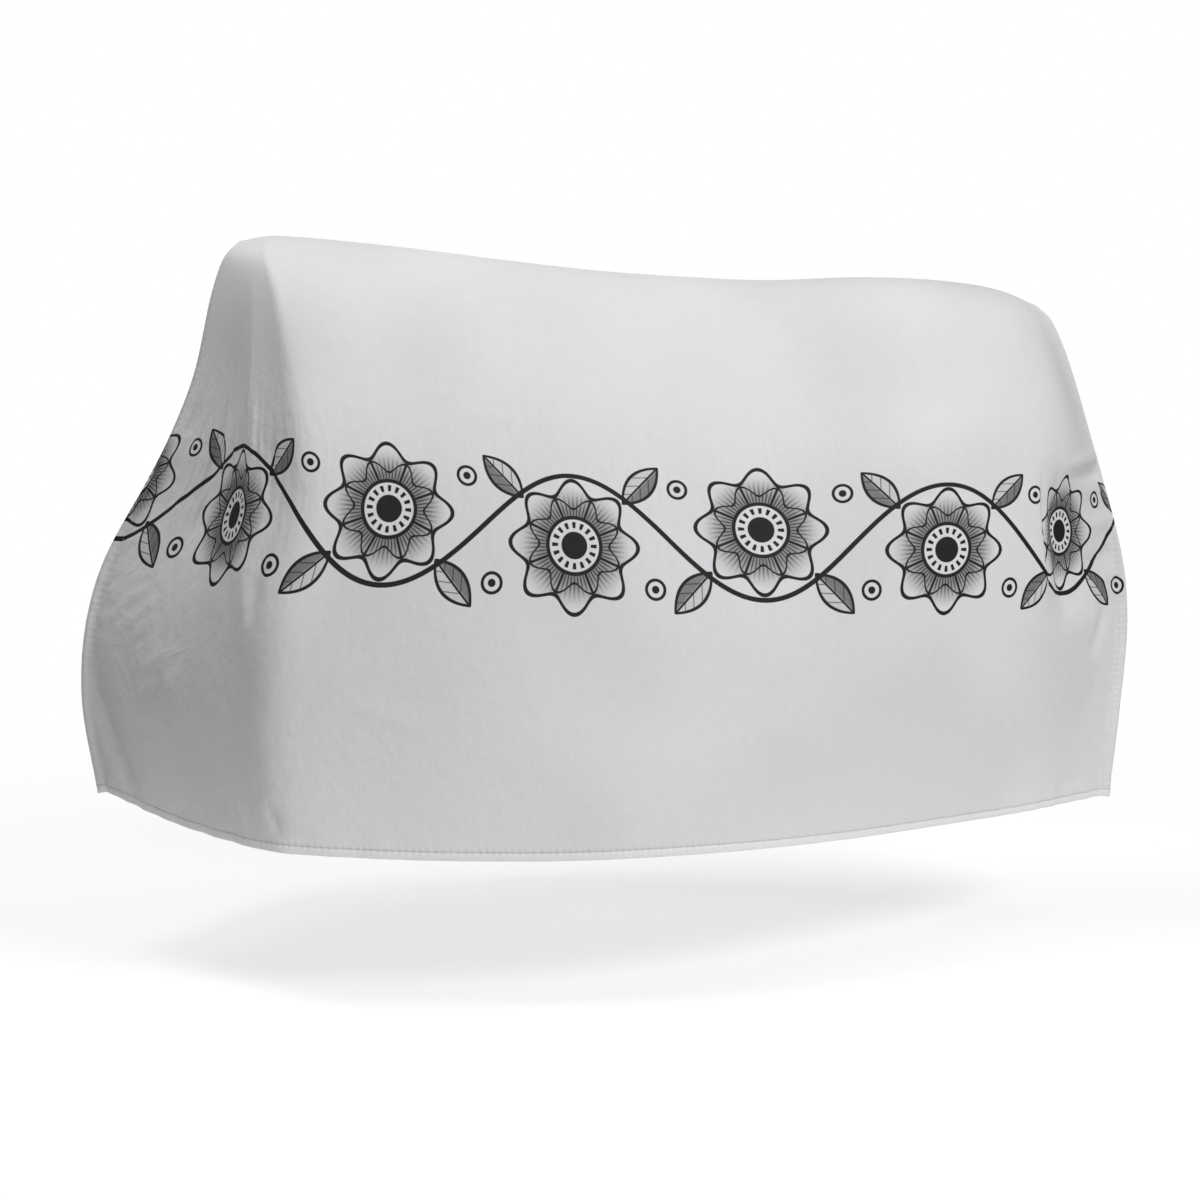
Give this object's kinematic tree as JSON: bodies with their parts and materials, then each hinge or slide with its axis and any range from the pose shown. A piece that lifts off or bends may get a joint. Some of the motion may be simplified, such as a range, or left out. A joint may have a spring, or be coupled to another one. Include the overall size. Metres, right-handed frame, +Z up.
{
  "type": "bicycle and motorcycle cover",
  "caption": "Grey film pouch cover shaped as it hangs over a two-wheeler: folded along the top, seamed at both ends, hemmed and open below.",
  "frame": {"origin": "on the inside of the top fold, midway along, where the covered thing's top bears", "axes": "+X from the front end towards the rear end, +Z up, -Y towards the side that the picture shows"},
  "size_m": [1.7919, 0.845, 0.9707],
  "materials": {
    "film": "soft grey film with a satin sheen, finely crinkled, with a border printed in black",
    "thread": "pale grey sewing thread"
  },
  "bodies": {
    "root": {"cover_sheet": "film"}
  },
  "joints": []
}
